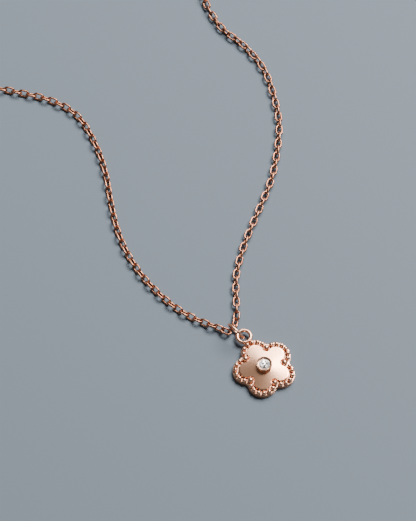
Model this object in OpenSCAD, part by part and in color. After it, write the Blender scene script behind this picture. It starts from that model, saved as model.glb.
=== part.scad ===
// A flower pendant with a beaded border and one round stone, on its cable chain, as it lies on a table.
// Millimetres. The flower's back is on z = 0 with its centre at the origin, and +Y points to the chain.

/* [Flower] */
// Distance from the flower's centre to the middle of each petal
petal_reach = 4.05; // [3.95:0.05:4.15]
// Radius of the row of beads round the middle of each petal
bead_row_r = 2.84; // [2.8:0.02:2.88]
// Direction of the petal that carries the loop, in degrees from +X
petal_turn = 120; // [116:1:124]
// Thickness of the block under the beads
block_h = 0.95; // [0.9:0.05:1]
// Radius of the small beads
bead_r = 0.55; // [0.5:0.01:0.57]
// Radius of the larger bead in each notch
notch_bead_r = 0.72; // [0.65:0.01:0.75]

/* [Face plate] */
// Radius of each lobe of the plate
plate_lobe_r = 2.1; // [1.9:0.05:2.15]
// Height of the plate's edge above the table
plate_edge_z = 1.45; // [1.3:0.05:1.5]
// Rise of the cone-shaped plate from its edge to its hole
plate_rise = 0.38; // [0.2:0.02:0.5]

/* [Stone and setting] */
// Diameter of the round stone
stone_d = 2.8; // [2.6:0.1:2.8]
// Height of the stone's girdle above the table
girdle_z = 2.56; // [2.5:0.02:2.64]
// Outer diameter of the setting at its rim
setting_d = 3.74; // [3.6:0.02:3.8]

/* [Loop and jump ring] */
// Radius of the fixed loop to the middle of its wire
loop_r = 1.58; // [1.5:0.02:1.6]
// Wire diameter of the fixed loop
loop_wire = 0.9; // [0.8:0.05:0.9]
// Radius of the jump ring to the middle of its wire
ring_r = 2.35; // [2.34:0.01:2.38]
// Wire diameter of the jump ring
ring_wire = 0.55; // [0.45:0.05:0.55]

/* [Chain] */
// Links on each side of the middle link
links_a_side = 118; // [118:1:118]
// Wire diameter of a link
link_wire = 0.45; // [0.4:0.01:0.45]
// Width of a link
link_w = 1.9; // [1.87:0.01:1.9]
// Play of each link along the chain
link_play = 0.14; // [0.12:0.01:0.14]

/* [Clasp] */
// Diameter of the clasp's barrel
clasp_d = 2.4; // [2:0.1:2.6]
// Length of the clasp's barrel
clasp_len = 6.4; // [6.2:0.1:6.6]

/* [Hidden] */
$fn = 48;
rose_gold = "#c98566";
satin_rose_gold = "#dcae96";
colourless = "#e6edf2";
// Overlap of solids that are soldered together, and the running gap between pieces
solder = 0.1;
gap = 0.05;

// Petals
petals = 5;
petal_step = 360 / petals;
half_step = petal_step / 2;
petal_dirs = [for (k = [0 : petals - 1]) petal_turn + k * petal_step];
notch_dirs = [for (a = petal_dirs) a + half_step];
bead_angles = [-64, -38.5, -13, 13, 38.5, 64];
bead_z = block_h + 0.35;
notch_bead_z = block_h + 0.45;
notch_bead_reach = petal_reach + 0.78;

// The block's wall: height bands and how far each stands out from the wall's own radius
wall_r = bead_row_r + 0.6;
notch_fillet_r = 1;
fillet_bite = 0.02;
FLANGE = [0, 0.4, 0.06];
CORE = [0, block_h, -0.14];
UPPER = [0.55, block_h, 0];
notch_reach = petal_reach * cos(half_step)
    + sqrt(pow(wall_r + notch_fillet_r - fillet_bite, 2) - pow(petal_reach * sin(half_step), 2));

// Plate
plate_z = block_h + gap;
plate_disc_r = 4.15;
plate_notch_r = notch_bead_r + 0.18;
plate_outer_r = petal_reach + plate_lobe_r;
plate_top_z = plate_edge_z + plate_rise;

// Setting: its outer radius at the neck and the rim, the seat, and the lip over the stone's edge
neck_r = 1.62;
plate_hole_r = neck_r + gap;
plate_slope = plate_rise / (plate_outer_r - plate_hole_r);
rim_r = setting_d / 2;
rim_round = 0.16;
rim_z = girdle_z + 0.4;
stone_r = stone_d / 2;
bore_r = stone_r + 0.03;
lip_r = stone_r - 0.05;
lip_z = girdle_z + 0.16;
seat_r = 0.9;
pavilion_angle = 40.75;
seat_drop = (bore_r - seat_r) * tan(pavilion_angle);
bore_floor_z = block_h + 0.2;

// Stone
girdle_h = 0.06;
table_r = 0.57 * stone_r;
crown_angle = 34.5;
star_angle = 21.5;
edge_angle = 42.3;
table_z = girdle_z + girdle_h + (stone_r - table_r) * tan(crown_angle);
eighth = 45;
cut_h = 4;

// Loop
loop_dir = petal_turn + 1;
loop_reach = petal_reach + wall_r + 1.65;
loop_z = 1.2;

// Middle link, held by the jump ring, and the ring's place on it
middle = [-7.55, 10, 1.1];
ring_heading = 45;
ring_lean = 13;
ring_place = -42;
middle_roll = 26;
ring_axis = [cos(ring_heading) * cos(ring_lean), sin(ring_heading) * cos(ring_lean), sin(ring_lean)];
ring_side = [-sin(ring_heading), cos(ring_heading), 0];
ring_up = cross(ring_axis, ring_side);
ring_out = cos(ring_place) * ring_side + sin(ring_place) * ring_up;
ring_along = cos(ring_place) * ring_up - sin(ring_place) * ring_side;
ring_centre = middle - ring_r * ring_out;
middle_normal = cos(middle_roll) * ring_along + sin(middle_roll) * ring_out;

// The chain's path on the table, from the first link of the left strand round to that of the right
ROUTE = [
    [-8.9, 9.3], [-11.4, 10.5], [-14.1, 11.6], [-18.8, 14.2], [-23.3, 17.8], [-28.3, 23.4],
    [-32.2, 29.8], [-34.8, 36.6], [-36.4, 44.1], [-37.7, 51.5], [-40.3, 59.4], [-44.6, 66.8], [-51.0, 71.0],
    [-60, 73.5], [-71, 76], [-84, 82], [-98, 93], [-110, 108], [-114, 127], [-109, 145], [-98, 161], [-80, 171],
    [-61, 172], [-43, 164], [-28, 151], [-20, 133], [-17, 116], [-15, 102], [-10.6, 92],
    [-4.4, 86], [0.1, 80], [2.5, 73], [3.9, 65], [3.4, 57], [1.8, 49], [-1.2, 41], [-4.4, 32.6], [-6.3, 25.2],
    [-6.6, 20.3], [-6.4, 14.2], [-6.75, 11.5]];
route_last = len(ROUTE) - 1;
route_steps = 16;
guides = [2 * ROUTE[0] - ROUTE[1], each ROUTE, 2 * ROUTE[route_last] - ROUTE[route_last - 1]];
path = [
    for (i = [1 : route_last], j = [0 : route_steps - 1])
        curve_point(guides[i - 1], guides[i], guides[i + 1], guides[i + 2], j / route_steps),
    ROUTE[route_last]];
path_last = len(path) - 1;
path_s = [for (i = 0, s = 0; i <= path_last; s = s + norm(path[min(i + 1, path_last)] - path[i]), i = i + 1) s];
path_len = path_s[path_last];
x_by_s = [for (i = [0 : path_last]) [path_s[i], path[i].x]];
y_by_s = [for (i = [0 : path_last]) [path_s[i], path[i].y]];

// Links
clasp_span = 10.6;
pitch = (path_len - clasp_span) / (2 * (links_a_side - 1));
// The length is kept to even hundredths, so that each link's four stretches meet face to face
link_len = 0.02 * round((pitch + 2 * link_wire + link_play) / 0.02);
link_straight = link_len - link_w;
link_bend_r = (link_w - link_wire) / 2;
table_clear = 0.015;

// Turn of the odd and even links about the chain, and lift of the links off the table: [link, value]
LEFT_ODD = [[1, -9], [3, -45], [107, -45], [117, 0]];
LEFT_EVEN = [[2, -119], [4, -135], [108, -135], [118, -90]];
LEFT_LIFT = [[1, 0.16], [2, 0.19], [3, 0.27], [4, 0.16], [5, 0.03], [6, 0], [115, 0], [118, 0.25]];
RIGHT_ODD = [[1, 132], [3, 87], [5, 66], [43, 66], [59, 135], [107, 135], [117, 180]];
RIGHT_EVEN = [[2, 19], [4, -5], [6, -7], [44, -7], [60, 45], [108, 45], [118, 90]];
RIGHT_LIFT = [[1, 0.27], [2, 0.06], [3, 0.02], [4, 0.04], [5, 0], [115, 0], [118, 0.25]];

// Clasp, between the last links of the two strands
last_left = link_centre("left", links_a_side);
last_right = link_centre("right", links_a_side);
clasp_centre = (last_left + last_right) / 2;
clasp_along = (last_right - last_left) / norm(last_right - last_left);
eye_r = 0.8;
eye_wire = 0.55;
eye_reach = clasp_span / 2 - 1.3;
barrel_round = 0.5;

function curve_point(p0, p1, p2, p3, t) = 0.5 * (2 * p1 + (p2 - p0) * t
    + (2 * p0 - 5 * p1 + 4 * p2 - p3) * t * t + (3 * p1 - p0 - 3 * p2 + p3) * t * t * t);

function unit(v) = v / norm(v);

function link_turn(side, i) = lookup(i, side == "left" ? (i % 2 == 1 ? LEFT_ODD : LEFT_EVEN)
    : (i % 2 == 1 ? RIGHT_ODD : RIGHT_EVEN));

// Height at which a link and the next one out, with their faces turned like this, just clear the table
function rest_z(side, i) = link_wire / 2 + table_clear
    + link_bend_r * max(abs(sin(link_turn(side, i))), abs(sin(link_turn(side, min(i + 1, links_a_side)))));

function link_lift(side, i) = lookup(i, side == "left" ? LEFT_LIFT : RIGHT_LIFT);

function link_centre(side, i) = let (d = (i - 1) * pitch, s = side == "left" ? d : path_len - d)
    [lookup(s, x_by_s), lookup(s, y_by_s), rest_z(side, i) + link_lift(side, i)];

// Along, across and face directions of a link, and its centre
function link_place(side, i) = let (
    along = unit(link_centre(side, min(i + 1, links_a_side)) - link_centre(side, max(i - 1, 1))),
    across = unit(cross([0, 0, 1], along)),
    turn = link_turn(side, i),
    face = cos(turn) * cross(along, across) + sin(turn) * across)
    [along, cross(face, along), face, link_centre(side, i)];

module placed(along, across, face, centre) {
    multmatrix([for (k = [0 : 2]) [along[k], across[k], face[k], centre[k]]]) children();
}

module ring(radius, wire) {
    rotate_extrude() translate([radius, 0]) circle(d = wire);
}

// A link lies in its own XY plane, with its length along X
module link() {
    for (end = [-1, 1]) {
        translate([end * link_straight / 2, 0, 0]) rotate([0, 0, -90 * end])
            rotate_extrude(angle = 180, $fn = 24) translate([link_bend_r, 0]) circle(d = link_wire, $fn = 16);
        translate([-link_straight / 2, end * link_bend_r, 0]) rotate([0, 90, 0])
            cylinder(d = link_wire, h = link_straight, $fn = 16);
    }
}

module strand(side) {
    for (i = [1 : links_a_side]) {
        place = link_place(side, i);
        placed(place[0], place[1], place[2], place[3]) link();
    }
}

module at_dir(angle, reach, z) {
    translate([reach * cos(angle), reach * sin(angle), z]) children();
}

// One height band of the block: five petals, filled out between them and hollowed at the notches
module block_band(band) {
    low = band[0];
    height = band[1] - band[0];
    out = band[2];
    star = [for (k = [0 : petals - 1])
        each [petal_reach * [cos(petal_dirs[k]), sin(petal_dirs[k])],
              notch_reach * [cos(notch_dirs[k]), sin(notch_dirs[k])]]];
    difference() {
        union() {
            translate([0, 0, low]) linear_extrude(height) polygon(star);
            for (a = petal_dirs) at_dir(a, petal_reach, low) cylinder(r = wall_r + out, h = height);
        }
        for (a = notch_dirs) at_dir(a, notch_reach, low - 1) cylinder(r = notch_fillet_r - out, h = height + 2);
    }
}

module block() {
    block_band(CORE);
    block_band(FLANGE);
    block_band(UPPER);
}

module beads() {
    for (a = petal_dirs, b = bead_angles)
        at_dir(a, petal_reach, bead_z) at_dir(a + b, bead_row_r, 0) sphere(r = bead_r);
    for (a = notch_dirs) at_dir(a, notch_bead_reach, notch_bead_z) sphere(r = notch_bead_r);
}

// Wall of the setting, turned round the flower's axis
module setting() {
    rim = [for (a = [0 : 30 : 180])
        [rim_r - rim_round + rim_round * cos(a), rim_z - rim_round + rim_round * sin(a)]];
    rotate_extrude() polygon([
        [0, block_h - solder], [neck_r, block_h - solder], [neck_r, plate_top_z + gap],
        [neck_r + 0.1, plate_top_z + gap], [rim_r, rim_z - 0.5], each rim,
        [lip_r, lip_z + 0.05], [lip_r, lip_z], [bore_r, lip_z - 0.04], [bore_r, girdle_z - 0.03],
        [seat_r, girdle_z - 0.03 - seat_drop], [seat_r, bore_floor_z], [0, bore_floor_z]]);
}

// Eight flat facets round the axis, sloping down from the point above it and passing "reach" out at z
module facets(turn, slope, reach, z) {
    apex = z + reach * tan(slope);
    rotate([0, 0, turn + eighth / 2]) translate([0, 0, apex - cut_h])
        cylinder(h = cut_h, r1 = cut_h / tan(slope) / cos(eighth / 2), r2 = 0, $fn = 8);
}

module pavilion_facets(turn, slope, reach) {
    translate([0, 0, girdle_z]) mirror([0, 0, 1]) facets(turn, slope, reach, 0);
}

module flower_frame() {
    color(rose_gold) {
        block();
        beads();
        setting();
        at_dir(loop_dir, loop_reach, loop_z) ring(loop_r, loop_wire);
    }
}

module face_plate() {
    height = plate_top_z - plate_z + 1;
    color(satin_rose_gold) difference() {
        intersection() {
            translate([0, 0, plate_z]) {
                cylinder(r = plate_disc_r, h = height);
                for (a = petal_dirs) at_dir(a, petal_reach, 0) cylinder(r = plate_lobe_r, h = height);
            }
            cylinder(h = plate_edge_z + plate_outer_r * plate_slope,
                r1 = plate_outer_r + plate_edge_z / plate_slope, r2 = 0);
        }
        translate([0, 0, plate_z - 1]) cylinder(r = plate_hole_r, h = height + 2);
        for (a = notch_dirs) at_dir(a, notch_bead_reach, plate_z - 1) cylinder(r = plate_notch_r, h = height + 2);
    }
}

module stone() {
    color(colourless) intersection() {
        translate([0, 0, girdle_z - stone_r]) cylinder(r = stone_r, h = table_z - girdle_z + stone_r);
        facets(0, crown_angle, stone_r, girdle_z + girdle_h);
        facets(eighth / 2, star_angle, table_r * cos(eighth / 2), table_z);
        for (side = [-1, 1]) intersection() {
            facets(side * eighth / 4, edge_angle, stone_r * cos(eighth / 4), girdle_z + girdle_h);
            pavilion_facets(side * eighth / 4, edge_angle, stone_r * cos(eighth / 4));
        }
        pavilion_facets(0, pavilion_angle, stone_r);
    }
}

module jump_ring() {
    color(rose_gold) placed(ring_side, ring_up, ring_axis, ring_centre) ring(ring_r, ring_wire);
}

module chain_left() {
    color(rose_gold) {
        placed(ring_axis, cross(middle_normal, ring_axis), middle_normal, middle) link();
        strand("left");
    }
}

module chain_right() {
    color(rose_gold) strand("right");
}

module clasp() {
    across = unit(cross([0, 0, 1], clasp_along));
    round_at = [clasp_d / 2 - barrel_round, clasp_len / 2 - barrel_round];
    ends = [for (a = [0 : 30 : 90]) round_at + barrel_round * [cos(a), sin(a)]];
    color(rose_gold) placed(clasp_along, across, cross(clasp_along, across), clasp_centre) {
        for (end = [0, 1]) mirror([end, 0, 0]) {
            rotate([0, 90, 0]) rotate_extrude() polygon([[0, 0], [clasp_d / 2, 0], each ends, [0, clasp_len / 2]]);
            translate([eye_reach, 0, 0]) ring(eye_r, eye_wire);
        }
    }
}

flower_frame();
face_plate();
stone();
jump_ring();
chain_left();
chain_right();
clasp();
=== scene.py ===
"""A rose-gold flower pendant on its cable chain, lying on a pale table.

The places of the links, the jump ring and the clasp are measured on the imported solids. Pieces are
modelled in millimetres, and settled into the frame's metres when they are done.
"""

import math
import random

import bmesh
import bpy
import numpy as np
from mathutils import Matrix, Vector


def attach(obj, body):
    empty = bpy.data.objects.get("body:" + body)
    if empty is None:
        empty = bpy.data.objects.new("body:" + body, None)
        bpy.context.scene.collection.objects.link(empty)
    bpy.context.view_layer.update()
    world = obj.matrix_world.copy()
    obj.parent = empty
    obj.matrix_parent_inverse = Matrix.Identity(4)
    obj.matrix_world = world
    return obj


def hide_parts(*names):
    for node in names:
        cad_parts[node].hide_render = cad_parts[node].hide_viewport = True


bl_info = {
    "name": "Flower pendant on a chain",
    "version": (1, 0, 0),
    "blender": (4, 5, 0),
    "location": "View3D > Sidebar > Pendant",
    "description": "Models a flower pendant with a beaded border, its chain and a studio table",
    "category": "Add Mesh",
}

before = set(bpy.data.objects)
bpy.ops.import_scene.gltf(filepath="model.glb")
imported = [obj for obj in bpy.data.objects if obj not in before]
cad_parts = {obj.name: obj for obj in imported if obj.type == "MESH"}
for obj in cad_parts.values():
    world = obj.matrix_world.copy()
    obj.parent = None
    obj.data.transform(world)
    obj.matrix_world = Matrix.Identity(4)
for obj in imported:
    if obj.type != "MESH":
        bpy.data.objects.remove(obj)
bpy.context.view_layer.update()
MM = 0.001
PETALS = 5
HALF_STEP = math.pi / PETALS
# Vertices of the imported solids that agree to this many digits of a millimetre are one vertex
WELD_DIGITS = 4


def length(name, description, millimetres):
    """A length property, stored in metres."""
    return bpy.props.FloatProperty(name=name, description=description, unit="LENGTH", precision=5,
                                   default=millimetres * MM)


def turn(name, description, degrees):
    """An angle property, stored in radians."""
    return bpy.props.FloatProperty(name=name, description=description, subtype="ANGLE",
                                   default=math.radians(degrees))


def linear(hex_colour):
    """An sRGB hex colour as linear red, green, blue and alpha."""
    parts = [int(hex_colour[k:k + 2], 16) / 255 for k in (1, 3, 5)]
    return (*(c / 12.92 if c <= 0.04045 else ((c + 0.055) / 1.055) ** 2.4 for c in parts), 1.0)


def tint(name, description, hex_colour):
    """A colour property whose default is an sRGB hex colour."""
    return bpy.props.FloatVectorProperty(name=name, description=description, subtype="COLOR", size=3,
                                         min=0.0, max=1.0, default=linear(hex_colour)[:3])


class FlowerSizes(bpy.types.PropertyGroup):
    """Sizes of the flower's block, beads and plate."""
    petal_reach: length("Petal reach", "From the flower's centre to the middle of a petal", 4.05)
    petal_turn: turn("Petal turn", "Direction of the petal that carries the loop", 120)
    wall_r: length("Wall radius", "Radius of the block's wall round a petal's middle", 3.44)
    notch_r: length("Notch radius", "Radius of the hollow wall between two petals", 1.0)
    bead_row_r: length("Bead row radius", "Radius of the row of beads round a petal's middle", 2.84)
    bead_r: length("Bead radius", "Radius of a small bead", 0.55)
    bead_z: length("Bead height", "Height of the small beads' centres", 1.3)
    notch_bead_r: length("Notch bead radius", "Radius of the larger bead in a notch", 0.72)
    notch_bead_z: length("Notch bead height", "Height of the larger beads' centres", 1.4)
    notch_bead_reach: length("Notch bead reach", "From the flower's centre to a larger bead", 4.83)
    lobe_r: length("Plate lobe radius", "Radius of a lobe of the satin plate", 2.1)
    disc_r: length("Plate disc radius", "Radius of the plate's middle", 4.15)
    bite_r: length("Plate bite radius", "Radius cut out of the plate round a larger bead", 0.9)
    hole_r: length("Plate hole radius", "Radius of the hole for the setting", 1.67)
    plate_z: length("Plate underside", "Height of the plate's underside", 1.0)
    plate_edge_z: length("Plate edge", "Height of the plate's upper edge", 1.45)
    plate_rise: length("Plate rise", "Rise of the plate's cone from its edge to its hole", 0.38)
    edge_round: length("Plate edge rounding", "Radius of the polished edge of the plate", 0.13)


class RingSizes(bpy.types.PropertyGroup):
    """Sizes of the loop, the jump ring and the clasp."""
    loop_turn: turn("Loop turn", "Direction of the fixed loop from the flower's centre", 121)
    loop_reach: length("Loop reach", "From the flower's centre to the loop's centre", 9.14)
    loop_z: length("Loop height", "Height of the loop's centre", 1.2)
    loop_r: length("Loop radius", "Radius of the loop to the middle of its wire", 1.58)
    loop_wire: length("Loop wire", "Wire diameter of the loop", 0.9)
    ring_r: length("Jump ring radius", "Radius of the jump ring to the middle of its wire", 2.35)
    ring_wire: length("Jump ring wire", "Wire diameter of the jump ring", 0.55)
    link_w: length("Link width", "Width of a link over its wire", 1.9)
    link_wire: length("Link wire", "Width of a link's six-sided wire over its corners", 0.5)
    barrel_r: length("Barrel radius", "Radius of the clasp's barrel", 1.2)
    barrel_len: length("Barrel length", "Length of the clasp's barrel", 6.4)
    eye_r: length("Eye radius", "Radius of a clasp's eye to the middle of its wire", 0.8)
    eye_wire: length("Eye wire", "Wire diameter of a clasp's eye", 0.55)
    eye_reach: length("Eye reach", "From the clasp's centre to an eye's centre", 4.0)


class FinishColours(bpy.types.PropertyGroup):
    """Colours of the metal and the table."""
    polished: tint("Polished gold", "Main colour of the polished rose gold", "#eabda3")
    polished_deep: tint("Polished gold, deep", "Colour of its redder patches", "#dba68a")
    # The chain's two colours hold painted shade: the rose gold of the polished pieces, made darker
    drawn: tint("Chain gold with painted shade", "Main colour of the chain's drawn wire", "#b27d64")
    drawn_deep: tint("Chain gold with painted shade, deep", "Colour of its darker patches", "#9e6a51")
    satin: tint("Satin gold", "Main colour of the satin plate", "#efbb9b")
    satin_deep: tint("Satin gold, deep", "Colour of its slightly darker patches", "#ebb695")
    table: tint("Table", "Colour of the table", "#5a6876")


class StudioSizes(bpy.types.PropertyGroup):
    """The camera and the table."""
    camera_place: bpy.props.FloatVectorProperty(
        name="Camera place", description="Where the camera stands", unit="LENGTH", size=3,
        default=(-0.01315, -0.42884, 0.92094))
    camera_pitch: turn("Camera pitch", "How far the camera looks down below the horizon", 63.6)
    lens: bpy.props.FloatProperty(
        name="Lens", description="Focal length on a sensor 36 mm high", unit="CAMERA", default=300.0)
    table_size: length("Table size", "Width of the table", 6000)


def in_mm(group):
    """The lengths of a property group in millimetres, and its angles in radians."""
    values = {}
    for prop in group.bl_rna.properties:
        if prop.type == "FLOAT" and not prop.is_array:
            value = getattr(group, prop.identifier)
            values[prop.identifier] = value / MM if prop.unit == "LENGTH" else value
    return type("Sizes", (), values)


# Modelling helpers

def deselect_all():
    """Clears the selection, which a new primitive or a joining would otherwise take in."""
    for obj in bpy.context.selected_objects:
        obj.select_set(False)


def select_only(*objects):
    """Selects these objects alone, the first one active."""
    deselect_all()
    for obj in objects:
        obj.select_set(True)
    bpy.context.view_layer.objects.active = objects[0]


def settle(obj, name, place=None):
    """Names a piece made in millimetres, and applies its size and place in the frame to its mesh."""
    obj.name = name
    obj.data.name = name
    obj.matrix_world = Matrix.Scale(MM, 4) @ (place or Matrix.Identity(4)) @ obj.matrix_world
    select_only(obj)
    bpy.ops.object.transform_apply(location=True, rotation=True, scale=True)
    return obj


def dress(obj, node, slot, *materials):
    """Gives a finished piece its materials and its place in the frame."""
    for material in materials:
        obj.data.materials.append(material)
    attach(obj, "root")
    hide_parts(node)


def smooth(obj, degrees=35):
    """Shades an object smooth, but for the edges that turn by more than an angle."""
    select_only(obj)
    bpy.ops.object.shade_smooth_by_angle(angle=math.radians(degrees))


def polar(reach, angle, z=0.0):
    """The point at a distance and in a direction from the Z axis."""
    return Vector((reach * math.cos(angle), reach * math.sin(angle), z))


def place_selected(obj, radius, z):
    """Puts the selected ring of vertices at a height, each at the radius given for its own direction."""
    mesh = bmesh.from_edit_mesh(obj.data)
    for vert in mesh.verts:
        if vert.select:
            angle = math.atan2(vert.co.y, vert.co.x)
            reach = radius(angle) if callable(radius) else radius
            vert.co = polar(reach, angle, z(reach) if callable(z) else z)
    bmesh.update_edit_mesh(obj.data)


def turned(section, sides, closed=False, surface=None):
    """A circle extruded ring by ring along a section of (radius, height), capped or closed into a tube.

    A height of None is taken from the surface, a function of the radius.
    """
    deselect_all()
    fill = "NOTHING" if closed else "NGON"
    bpy.ops.mesh.primitive_circle_add(vertices=sides, radius=1, fill_type=fill)
    obj = bpy.context.object
    bpy.ops.object.mode_set(mode="EDIT")
    bpy.ops.mesh.select_all(action="SELECT")
    for step, (radius, z) in enumerate(section):
        if step:
            bpy.ops.mesh.extrude_region_move()
        place_selected(obj, radius, z if surface is None or z is not None else surface)
    if closed:
        bpy.ops.mesh.select_all(action="DESELECT")
        bpy.ops.mesh.select_mode(type="EDGE")
        bpy.ops.mesh.select_non_manifold(use_wire=False, use_boundary=True, use_multi_face=False,
                                         use_non_contiguous=False, use_verts=False)
        bpy.ops.mesh.bridge_edge_loops()
        bpy.ops.mesh.select_mode(type="VERT")
    bpy.ops.mesh.select_all(action="SELECT")
    bpy.ops.mesh.normals_make_consistent(inside=False)
    bpy.ops.object.mode_set(mode="OBJECT")
    return obj


def torus(radius, wire, steps, at=(0, 0, 0)):
    """A ring of round wire with these steps round the ring and round the wire."""
    deselect_all()
    bpy.ops.mesh.primitive_torus_add(major_radius=radius, minor_radius=wire / 2, major_segments=steps[0],
                                     minor_segments=steps[1], location=at)
    return bpy.context.object


def ball(radius, steps):
    """A ball with these steps round its axis and from pole to pole."""
    deselect_all()
    bpy.ops.mesh.primitive_uv_sphere_add(radius=radius, segments=steps[0], ring_count=steps[1])
    return bpy.context.object


def copied(pattern, place):
    """A copy of an object at a place, with a mesh of its own."""
    copy = pattern.copy()
    copy.data = pattern.data.copy()
    copy.matrix_world = place
    bpy.context.scene.collection.objects.link(copy)
    return copy


def soldered(body, others):
    """One closed body from a body and the pieces that are soldered to it."""
    select_only(body)
    group = bpy.data.collections.new("soldered")
    bpy.context.scene.collection.children.link(group)
    for obj in others:
        group.objects.link(obj)
    union = body.modifiers.new("solder", "BOOLEAN")
    union.operation = "UNION"
    union.operand_type = "COLLECTION"
    union.collection = group
    union.solver = "EXACT"
    bpy.ops.object.modifier_apply(modifier=union.name)
    for obj in others:
        bpy.data.objects.remove(obj)
    bpy.data.collections.remove(group)
    return body


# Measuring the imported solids

def axes_of(centres, areas):
    """The centre of a surface and its longest, middle and shortest directions, as a matrix."""
    centre = (centres * areas[:, None]).sum(0) / areas.sum()
    spread = ((centres - centre) * areas[:, None]).T @ (centres - centre)
    along, across = (Vector(v) for v in np.linalg.eigh(spread)[1].T[[2, 1]])
    directions = Matrix((along, across, along.cross(across))).transposed()
    return Matrix.Translation(centre) @ directions.to_4x4()


def loose_parts(triangles, count):
    """The lowest vertex that triangles join each of count vertices to, which numbers the loose solids."""
    lowest = np.arange(count)
    while True:
        before = lowest.copy()
        np.minimum.at(lowest, triangles.reshape(-1), np.repeat(before[triangles].min(axis=1), 3))
        if (lowest == before).all():
            return lowest


def solids_of(node):
    """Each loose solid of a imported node, as its place in millimetres and its size along its own axes."""
    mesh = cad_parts[node].data
    mesh.calc_loop_triangles()
    points = np.empty(3 * len(mesh.vertices))
    mesh.vertices.foreach_get("co", points)
    points = points.reshape(-1, 3) / MM
    corners = np.empty(3 * len(mesh.loop_triangles), dtype=np.int64)
    mesh.loop_triangles.foreach_get("vertices", corners)
    corners = corners.reshape(-1, 3)
    welded = np.unique(np.round(points, WELD_DIGITS), axis=0, return_inverse=True)[1].reshape(-1)
    part = loose_parts(welded[corners], welded.max() + 1)
    found = []
    for number in np.unique(part):
        tri = points[corners[part[welded[corners[:, 0]]] == number]]
        areas = np.linalg.norm(np.cross(tri[:, 1] - tri[:, 0], tri[:, 2] - tri[:, 0]), axis=1) / 2
        place = axes_of(tri.mean(axis=1), areas)
        local = (tri.reshape(-1, 3) - np.array(place.translation)) @ np.array(place.to_3x3())
        found.append((place, local.max(0) - local.min(0)))
    return found


# Materials

def add_node(tree, kind, settings=None, links=None):
    """Adds a node, sets its attributes and sockets, and links sockets to other nodes' outputs.

    A socket is given by its name, or by its number where several have the same name.
    """
    node = tree.nodes.new(kind)
    for name, value in (settings or {}).items():
        if isinstance(name, int) or name in node.inputs:
            node.inputs[name].default_value = value
        else:
            setattr(node, name, value)
    for name, output in (links or {}).items():
        tree.links.new(output, node.inputs[name])
    return node


def new_material(name, **surface):
    """A material with one Principled surface, and the object coordinates that its patterns read."""
    material = bpy.data.materials.new(name)
    material.use_nodes = True
    tree = material.node_tree
    tree.nodes.clear()
    shader = add_node(tree, "ShaderNodeBsdfPrincipled", surface)
    add_node(tree, "ShaderNodeOutputMaterial", links={"Surface": shader.outputs["BSDF"]})
    place = add_node(tree, "ShaderNodeTexCoord").outputs["Object"]
    return material, tree, shader, place


def shared_material(name, maker, *values):
    """A material that is made once, and then shared by the pieces that have it."""
    return bpy.data.materials.get(name) or maker(*values)


def add_relief(tree, shader, place, patch_mm, detail, depth_mm, strength):
    """Gives a surface a soft relief of bumps about patch_mm wide."""
    height = add_node(tree, "ShaderNodeTexNoise", {"Scale": 1 / (patch_mm * MM), "Detail": detail},
                      {"Vector": place}).outputs["Fac"]
    relief = add_node(tree, "ShaderNodeBump", {"Strength": strength, "Distance": depth_mm * MM},
                      {"Height": height})
    tree.links.new(relief.outputs["Normal"], shader.inputs["Normal"])


def rose_gold(name, main, deep, patch_mm, grain_mm, grain_detail, smoothest, roughest):
    """Rose gold in patches of two close colours, with a roughness that follows a finer grain."""
    material, tree, shader, place = new_material(name, Metallic=1.0)
    patches = add_node(tree, "ShaderNodeTexNoise", {"Scale": 1 / (patch_mm * MM)}, {"Vector": place})
    colour = add_node(tree, "ShaderNodeValToRGB", links={"Fac": patches.outputs["Fac"]})
    low, high = colour.color_ramp.elements
    low.color, high.color = (*deep, 1), (*main, 1)
    low.position, high.position = 0.35, 0.65
    grain = add_node(tree, "ShaderNodeTexNoise", {"Scale": 1 / (grain_mm * MM), **grain_detail},
                     {"Vector": place})
    roughness = add_node(tree, "ShaderNodeMapRange", {"To Min": smoothest, "To Max": roughest},
                         {"Value": grain.outputs["Fac"]})
    tree.links.new(colour.outputs["Color"], shader.inputs["Base Color"])
    tree.links.new(roughness.outputs["Result"], shader.inputs["Roughness"])
    return material, tree, shader, place


def buffed_rose_gold(colours):
    # 18 carat rose gold, cast and then buffed: a soft mirror with the slight waviness of hand polishing.
    # Its hairlines are too fine to show, so patches of 0.35 mm vary the roughness in their place.
    material, tree, shader, place = rose_gold(
        "rose_gold_buffed", colours.polished, colours.polished_deep, patch_mm=1.6, grain_mm=0.35,
        grain_detail={"Detail": 3.0}, smoothest=0.25, roughest=0.31)
    add_relief(tree, shader, place, patch_mm=0.8, detail=2.0, depth_mm=0.02, strength=0.1)
    return material


def chain_gold_painted_shade(colours):
    # The chain's wire, drawn through a die and tumbled: a touch duller than the casting in its roughness.
    # Its colours are the same gold made darker and redder, which is painted shade over the whole chain.
    return rose_gold(
        "rose_gold_drawn", colours.drawn, colours.drawn_deep, patch_mm=1.2, grain_mm=0.35,
        grain_detail={"Detail": 3.0}, smoothest=0.27, roughest=0.34)[0]


def blasted_rose_gold(colours):
    # The same gold, blasted with fine beads: a satin bloom. The real grain is about 0.05 mm, and is drawn
    # at 0.12 mm so that it shows.
    return rose_gold(
        "rose_gold_bead_blasted", colours.satin, colours.satin_deep, patch_mm=2.5, grain_mm=0.12,
        grain_detail={"Detail": 3.0, "Roughness": 0.6}, smoothest=0.19, roughest=0.22)[0]


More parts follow.
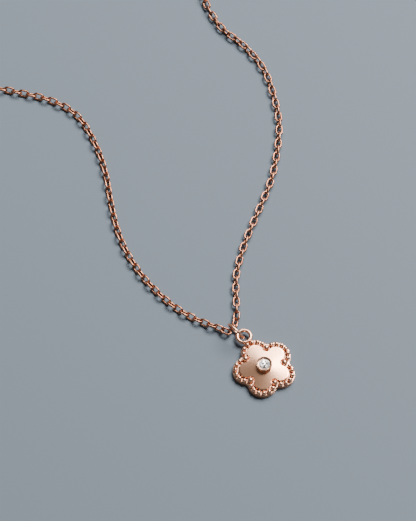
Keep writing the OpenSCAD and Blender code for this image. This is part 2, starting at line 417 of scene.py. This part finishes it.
def cut_stone():
    # A brilliant-cut diamond or white topaz. Its back facets throw most of the light up again in small
    # patches, white to grey, and these are painted reflections in the base colour. They are drawn in rings
    # and sectors round the stone's axis, each like a small mirror with a painted reflection of its own,
    # dark grey, grey or white, and a tilt of its own.
    ring_mm, sectors, tilt = 0.36, 10, 0.5
    # The greys and the white of the painted reflections
    dark, middling, bright = (linear(colour) for colour in ("#64686a", "#b3b7b9", "#ffffff"))
    middling_from, bright_from = 0.32, 0.6
    material, tree, shader, place = new_material("brilliant_clear", Roughness=0.08, Metallic=0.35)
    spot = add_node(tree, "ShaderNodeSeparateXYZ", links={"Vector": place}).outputs
    flat = add_node(tree, "ShaderNodeCombineXYZ", links={"X": spot["X"], "Y": spot["Y"]})
    reach = add_node(tree, "ShaderNodeVectorMath", {"operation": "LENGTH"}, {0: flat.outputs["Vector"]})
    rings = add_node(tree, "ShaderNodeMath", {"operation": "DIVIDE", 1: ring_mm * MM},
                     {0: reach.outputs["Value"]})
    ring = add_node(tree, "ShaderNodeMath", {"operation": "FLOOR"}, {0: rings.outputs["Value"]})
    angle = add_node(tree, "ShaderNodeMath", {"operation": "ARCTAN2"}, {0: spot["Y"], 1: spot["X"]})
    turns = add_node(tree, "ShaderNodeMath", {"operation": "DIVIDE", 1: 2 * math.pi / sectors},
                     {0: angle.outputs["Value"]})
    # Each ring's sectors are turned by half a sector against those of the ring inside it
    staggered = add_node(tree, "ShaderNodeMath", {"operation": "MULTIPLY_ADD", 1: 0.5},
                         {0: ring.outputs["Value"], 2: turns.outputs["Value"]})
    sector = add_node(tree, "ShaderNodeMath", {"operation": "FLOOR"}, {0: staggered.outputs["Value"]})
    cell = add_node(tree, "ShaderNodeCombineXYZ",
                    links={"X": sector.outputs["Value"], "Y": ring.outputs["Value"]})
    patch = add_node(tree, "ShaderNodeTexWhiteNoise", {"noise_dimensions": "2D"},
                     {"Vector": cell.outputs["Vector"]}).outputs
    # Painted reflection: each facet patch gets dark grey, grey or white for the light it throws back
    colour = add_node(tree, "ShaderNodeValToRGB", links={"Fac": patch["Value"]})
    ramp = colour.color_ramp
    ramp.interpolation = "CONSTANT"
    ramp.elements[0].color, ramp.elements[1].color = dark, bright
    ramp.elements[1].position = bright_from
    ramp.elements.new(middling_from).color = middling
    lean = add_node(tree, "ShaderNodeVectorMath", {"operation": "SUBTRACT", 1: (0.5, 0.5, 0.5)},
                    {0: patch["Color"]})
    upright = add_node(tree, "ShaderNodeNewGeometry").outputs["Normal"]
    facet = add_node(tree, "ShaderNodeVectorMath", {"operation": "MULTIPLY_ADD", 1: (tilt, tilt, tilt)},
                     {0: lean.outputs["Vector"], 2: upright})
    normal = add_node(tree, "ShaderNodeVectorMath", {"operation": "NORMALIZE"},
                      {0: facet.outputs["Vector"]})
    tree.links.new(colour.outputs["Color"], shader.inputs["Base Color"])
    tree.links.new(normal.outputs["Vector"], shader.inputs["Normal"])
    return material


def painted_board(colours):
    # A board in matt paint: even, with a very slight tooth.
    material, tree, shader, place = new_material("board_matt_paint", Roughness=0.75)
    shader.inputs["Base Color"].default_value = (*colours.table, 1)
    add_relief(tree, shader, place, patch_mm=0.9, detail=3.0, depth_mm=0.02, strength=0.15)
    return material


def polished(context):
    """The buffed gold of every piece but the chains and the plate's face."""
    return shared_material("rose_gold_buffed", buffed_rose_gold, context.scene.pendant_colours)


# Shapes of the flower

def from_petal_axis(angle, turned_by):
    """The angle between a direction and the nearest petal's axis."""
    step = 2 * HALF_STEP
    return abs((angle - turned_by + HALF_STEP) % step - HALF_STEP)


def along_ray(reach, off, radius, side):
    """How far out a ray from the flower's centre meets the far (1) or near (-1) side of a circle.

    The circle's centre is a reach away, off the ray by an angle. The answer is None if the ray misses it.
    """
    across = reach * math.sin(off)
    if across >= radius:
        return None
    return reach * math.cos(off) + side * math.sqrt(radius ** 2 - across ** 2)


def wall_radius(size, out):
    """The block's wall in each direction, set out by a distance: a petal's arc or the notch's hollow."""
    petal_r = size.wall_r + out
    notch_r = size.notch_r - out
    apart = size.wall_r + size.notch_r
    side = size.petal_reach * math.sin(HALF_STEP)
    notch_reach = size.petal_reach * math.cos(HALF_STEP) + math.sqrt(apart ** 2 - side ** 2)
    petal, notch = polar(size.petal_reach, 0), polar(notch_reach, HALF_STEP)
    meet = petal.lerp(notch, petal_r / apart)
    meet_angle = math.atan2(meet.y, meet.x)

    def radius(angle):
        off = from_petal_axis(angle, size.petal_turn)
        if off < meet_angle:
            return along_ray(size.petal_reach, off, petal_r, 1)
        return along_ray(notch_reach, HALF_STEP - off, notch_r, -1)
    return radius


def plate_radius(size, out):
    """The satin plate's edge in each direction: a lobe's arc or the disc, bitten by the larger beads."""
    lobe_r = size.lobe_r + out
    disc_r = size.disc_r + out
    bite_r = size.bite_r - out

    def radius(angle):
        off = from_petal_axis(angle, size.petal_turn)
        lobe = along_ray(size.petal_reach, off, lobe_r, 1)
        bite = along_ray(size.notch_bead_reach, HALF_STEP - off, bite_r, -1)
        edge = max(lobe or 0, disc_r)
        return edge if bite is None else min(edge, bite)
    return radius


class PENDANT_OT_flower_frame(bpy.types.Operator):
    """Models the block with its groove and rim, the beads, the setting and the loop, as one body"""
    bl_idname = "pendant.flower_frame"
    bl_label = "Flower frame"

    # Section of the block's wall: how far each point stands out, and its height
    WALL = (
        (0.02, 0), (0.05, 0.02), (0.06, 0.06), (0.06, 0.32), (0.045, 0.37), (0.0, 0.4),
        (-0.12, 0.41), (-0.14, 0.43), (-0.14, 0.52), (-0.12, 0.54), (-0.03, 0.55), (-0.01, 0.57),
        (0, 0.6), (0, 0.84), (-0.02, 0.9), (-0.06, 0.935), (-0.12, 0.95),
    )
    WALL_SIDES = 360
    # Section of the setting, up its outside and down its inside: each point's radius and height
    SETTING = (
        (1.62, 0.85), (1.62, 1.88), (1.70, 1.9), (1.73, 1.94), (1.87, 2.46), (1.87, 2.8), (1.85, 2.87),
        (1.79, 2.93), (1.71, 2.96), (1.63, 2.93), (1.57, 2.87), (1.5, 2.81), (1.35, 2.77),
        (1.35, 2.72), (1.43, 2.68), (1.43, 2.53), (0.9, 2.073), (0.9, 1.15), (0.02, 1.15),
    )
    SETTING_SIDES = 96
    # Directions of the small beads round a petal's middle, in degrees from the petal's axis
    BEADS_AT = (-64.0, -38.5, -13.0, 13.0, 38.5, 64.0)
    BEAD_STEPS = (24, 14)
    LOOP_STEPS = (64, 28)
    # How far a small bead may lie below the others, and the seed of the draw that says how far it does
    UNEVEN = 0.012
    SEED = 7

    def execute(self, context):
        size = in_mm(context.scene.pendant_flower)
        rings = in_mm(context.scene.pendant_rings)
        draw = random.Random(self.SEED)
        block = turned([(wall_radius(size, out), z) for out, z in self.WALL], self.WALL_SIDES)
        parts = [turned(self.SETTING, self.SETTING_SIDES)]
        small, large = (ball(r, self.BEAD_STEPS) for r in (size.bead_r, size.notch_bead_r))
        for k in range(PETALS):
            axis = size.petal_turn + 2 * HALF_STEP * k
            for degrees in self.BEADS_AT:
                at = polar(size.petal_reach, axis)
                at += polar(size.bead_row_r, axis + math.radians(degrees), size.bead_z)
                at.z += draw.uniform(-1, 0) * self.UNEVEN
                parts.append(copied(small, Matrix.Translation(at)))
            at = polar(size.notch_bead_reach, axis + HALF_STEP, size.notch_bead_z)
            parts.append(copied(large, Matrix.Translation(at)))
        for pattern in (small, large):
            bpy.data.objects.remove(pattern)
        loop_at = polar(rings.loop_reach, rings.loop_turn, rings.loop_z)
        parts.append(torus(rings.loop_r, rings.loop_wire, self.LOOP_STEPS, loop_at))
        piece = settle(soldered(block, parts), "beaded_flower_frame")
        smooth(piece)
        dress(piece, "flower_frame", "rose_gold", polished(context))
        return {"FINISHED"}


class PENDANT_OT_face_plate(bpy.types.Operator):
    """Models the satin plate, a shallow cone with a polished rounded edge"""
    bl_idname = "pendant.face_plate"
    bl_label = "Face plate"

    SIDES = 480
    EDGE_STEPS = 5
    FACE_STEPS = 16

    def execute(self, context):
        size = in_mm(context.scene.pendant_flower)
        outer = size.petal_reach + size.lobe_r
        brink = plate_radius(size, -size.edge_round)

        def cone_z(reach):
            """Height of the plate's face at a distance from the flower's axis."""
            return size.plate_edge_z + size.plate_rise * (outer - reach) / (outer - size.hole_r)

        def towards_hole(share):
            """The ring that lies this share of the way from the brink of the edge to the hole."""
            return lambda angle: brink(angle) + (size.hole_r - brink(angle)) * share

        side = plate_radius(size, 0)
        section = [(side, size.plate_z), (side, size.plate_edge_z - size.edge_round)]
        for k in range(1, self.EDGE_STEPS):
            a = math.pi / 2 * k / self.EDGE_STEPS
            section.append((plate_radius(size, size.edge_round * (math.cos(a) - 1)),
                            size.plate_edge_z - size.edge_round * (1 - math.sin(a))))
        section += [(towards_hole(k / self.FACE_STEPS), None) for k in range(self.FACE_STEPS + 1)]
        section.append((size.hole_r, size.plate_z))
        piece = turned(section, self.SIDES, closed=True, surface=cone_z)
        for face in piece.data.polygons:
            x, y, _ = face.center
            past_brink = math.hypot(x, y) > brink(math.atan2(y, x))
            face.material_index = int(past_brink)
        settle(piece, "satin_face_plate")
        smooth(piece)
        colours = context.scene.pendant_colours
        satin = shared_material("rose_gold_bead_blasted", blasted_rose_gold, colours)
        dress(piece, "face_plate", "satin_rose_gold", satin, polished(context))
        return {"FINISHED"}


class PENDANT_OT_stone(bpy.types.Operator):
    """Gives the cut stone its material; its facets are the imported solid's own"""
    bl_idname = "pendant.stone"
    bl_label = "Stone"

    def execute(self, context):
        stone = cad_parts["stone"]
        stone.data.materials.clear()
        stone.data.materials.append(shared_material("brilliant_clear", cut_stone))
        return {"FINISHED"}


class PENDANT_OT_jump_ring(bpy.types.Operator):
    """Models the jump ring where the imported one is"""
    bl_idname = "pendant.jump_ring"
    bl_label = "Jump ring"

    STEPS = (72, 20)

    def execute(self, context):
        size = in_mm(context.scene.pendant_rings)
        place, _ = solids_of("jump_ring")[0]
        piece = settle(torus(size.ring_r, size.ring_wire, self.STEPS), "round_jump_ring", place)
        smooth(piece)
        dress(piece, "jump_ring", "rose_gold", polished(context))
        return {"FINISHED"}


class PENDANT_OT_chains(bpy.types.Operator):
    """Models one oval link and lays a copy in the place of every packed link of both strands"""
    bl_idname = "pendant.chains"
    bl_label = "Cable chains"

    # Steps round a link and round its wire, few because there are 237 links. The first number leaves no
    # vertex on the ring's middle line, where the ring is drawn out.
    LINK_STEPS = (14, 6)
    # Edges of the wire that turn by less than this many degrees are shaded smooth
    SMOOTH_BELOW = 75

    def link(self, size, full_length):
        """A ring drawn out along X into an oval link."""
        obj = torus((size.link_w - size.link_wire) / 2, size.link_wire, self.LINK_STEPS)
        bpy.ops.object.mode_set(mode="EDIT")
        for side in (-1, 1):
            bpy.ops.mesh.select_all(action="DESELECT")
            mesh = bmesh.from_edit_mesh(obj.data)
            for vert in mesh.verts:
                vert.select_set(side * vert.co.x > 0)
            mesh.select_flush_mode()
            bmesh.update_edit_mesh(obj.data)
            bpy.ops.transform.translate(value=(side * (full_length - size.link_w) / 2, 0, 0))
        bpy.ops.object.mode_set(mode="OBJECT")
        return obj

    def execute(self, context):
        size = in_mm(context.scene.pendant_rings)
        # The chain's gold, darkened with painted shade
        wire = shared_material("rose_gold_drawn", chain_gold_painted_shade, context.scene.pendant_colours)
        for node, name in (("chain_left", "left_cable_chain"), ("chain_right", "right_cable_chain")):
            solids = solids_of(node)
            first_extent = solids[0][1]
            pattern = self.link(size, first_extent[0])
            links = [copied(pattern, place) for place, _ in solids]
            bpy.data.objects.remove(pattern)
            select_only(*links)
            bpy.ops.object.join()
            piece = settle(context.object, name)
            smooth(piece, self.SMOOTH_BELOW)
            dress(piece, node, "rose_gold", wire)
        return {"FINISHED"}


class PENDANT_OT_clasp(bpy.types.Operator):
    """Models the barrel clasp with its seam and its two eyes, as one body"""
    bl_idname = "pendant.clasp"
    bl_label = "Barrel clasp"

    BARREL_SIDES = 64
    EYE_STEPS = (40, 16)
    END_ROUND = 0.5
    END_STEPS = 6
    # The seam where the two halves of the barrel meet: how far each point lies in, and how far along
    SEAM = ((0, -0.06), (0.05, -0.02), (0.05, 0.02), (0, 0.06))
    SEAM_AT = 0.8

    def execute(self, context):
        size = in_mm(context.scene.pendant_rings)
        end = []
        for k in range(self.END_STEPS + 1):
            a = math.pi / 2 * k / self.END_STEPS
            end.append((size.barrel_r - self.END_ROUND * (1 - math.cos(a)),
                        size.barrel_len / 2 - self.END_ROUND * (1 - math.sin(a))))
        section = [(r, -z) for r, z in reversed(end)]
        section += [(size.barrel_r - depth, self.SEAM_AT + z) for depth, z in self.SEAM] + end
        barrel = turned(section, self.BARREL_SIDES)
        barrel.matrix_world = Matrix.Rotation(math.pi / 2, 4, "Y")
        select_only(barrel)
        bpy.ops.object.transform_apply(rotation=True)
        pattern = torus(size.eye_r, size.eye_wire, self.EYE_STEPS)
        eyes = [copied(pattern, Matrix.Translation((x, 0, 0))) for x in (-size.eye_reach, size.eye_reach)]
        bpy.data.objects.remove(pattern)
        place, _ = solids_of("clasp")[0]
        piece = settle(soldered(barrel, eyes), "barrel_clasp", place)
        smooth(piece)
        dress(piece, "clasp", "rose_gold", polished(context))
        return {"FINISHED"}


class PENDANT_OT_stage(bpy.types.Operator):
    """Sets the table, the soft studio lights and the camera"""
    bl_idname = "pendant.stage"
    bl_label = "Table, lights and camera"

    # Each soft light's name, its direction from the flower as angles round and up in degrees, its
    # distance, width and depth in metres, its power in watts, and its colour
    LIGHTS = (
        ("key", 46, 52, 0.9, 0.46, 0.46, 19.0, "#fff6ee"),
        ("back_strip", 82, 46, 1.0, 0.5, 0.3, 8.0, "#fffaf6"),
    )
    # The studio's walls glow, and their light fades up to WALL_TOP of the sky's height, to a dim ceiling
    WORLD = "#b4b1ad"
    WALL_STRENGTH = 1.6
    CEILING_STRENGTH = 0.2
    WALL_TOP = 0.45
    SENSOR_MM = 36.0
    VIEW_END = 20.0

    def execute(self, context):
        studio = context.scene.pendant_studio
        deselect_all()
        bpy.ops.mesh.primitive_plane_add(size=studio.table_size)
        table = context.object
        table.name = "table"
        board = shared_material("board_matt_paint", painted_board, context.scene.pendant_colours)
        table.data.materials.append(board)
        for name, around, up, away, width, depth, power, colour in self.LIGHTS:
            height = math.radians(up)
            direction = polar(math.cos(height), math.radians(around), math.sin(height))
            bpy.ops.object.light_add(type="AREA", location=direction * away)
            lamp = context.object
            lamp.name = name
            lamp.rotation_euler = direction.to_track_quat("Z", "Y").to_euler()
            lamp.data.shape = "RECTANGLE"
            lamp.data.size = width
            lamp.data.size_y = depth
            lamp.data.energy = power
            lamp.data.color = linear(colour)[:3]
        world = bpy.data.worlds.new("studio")
        world.use_nodes = True
        tree = world.node_tree
        backdrop = tree.nodes["Background"]
        backdrop.inputs["Color"].default_value = linear(self.WORLD)
        sky = add_node(tree, "ShaderNodeTexCoord").outputs["Generated"]
        sky_height = add_node(tree, "ShaderNodeSeparateXYZ", links={"Vector": sky}).outputs["Z"]
        glow = add_node(tree, "ShaderNodeMapRange",
                        {"From Max": self.WALL_TOP, "To Min": self.WALL_STRENGTH,
                         "To Max": self.CEILING_STRENGTH}, {"Value": sky_height})
        tree.links.new(glow.outputs["Result"], backdrop.inputs["Strength"])
        context.scene.world = world
        bpy.ops.object.camera_add(location=studio.camera_place,
                                  rotation=(math.pi / 2 - studio.camera_pitch, 0, 0))
        camera = context.object
        camera.name = "camera"
        camera.data.lens = studio.lens
        camera.data.sensor_fit = "VERTICAL"
        camera.data.sensor_height = self.SENSOR_MM
        camera.data.clip_end = self.VIEW_END
        context.scene.camera = camera
        return {"FINISHED"}


class PENDANT_PT_panel(bpy.types.Panel):
    """Lists the makers of the pendant's pieces"""
    bl_idname = "PENDANT_PT_panel"
    bl_label = "Flower pendant"
    bl_space_type = "VIEW_3D"
    bl_region_type = "UI"
    bl_category = "Pendant"

    def draw(self, context):
        for operator in OPERATORS:
            self.layout.operator(operator.bl_idname)


GROUPS = (("pendant_flower", FlowerSizes), ("pendant_rings", RingSizes),
          ("pendant_colours", FinishColours), ("pendant_studio", StudioSizes))
OPERATORS = (PENDANT_OT_stage, PENDANT_OT_flower_frame, PENDANT_OT_face_plate, PENDANT_OT_stone,
             PENDANT_OT_jump_ring, PENDANT_OT_chains, PENDANT_OT_clasp)


def register():
    for name, group in GROUPS:
        bpy.utils.register_class(group)
        setattr(bpy.types.Scene, name, bpy.props.PointerProperty(type=group))
    for made in (*OPERATORS, PENDANT_PT_panel):
        bpy.utils.register_class(made)


def unregister():
    for made in (PENDANT_PT_panel, *reversed(OPERATORS)):
        bpy.utils.unregister_class(made)
    for name, group in reversed(GROUPS):
        delattr(bpy.types.Scene, name)
        bpy.utils.unregister_class(group)


def main():
    """Makes every piece and the stage."""
    register()
    for operator in OPERATORS:
        family, action = operator.bl_idname.split(".")
        getattr(getattr(bpy.ops, family), action)()
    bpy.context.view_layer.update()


if __name__ == "__main__":
    main()
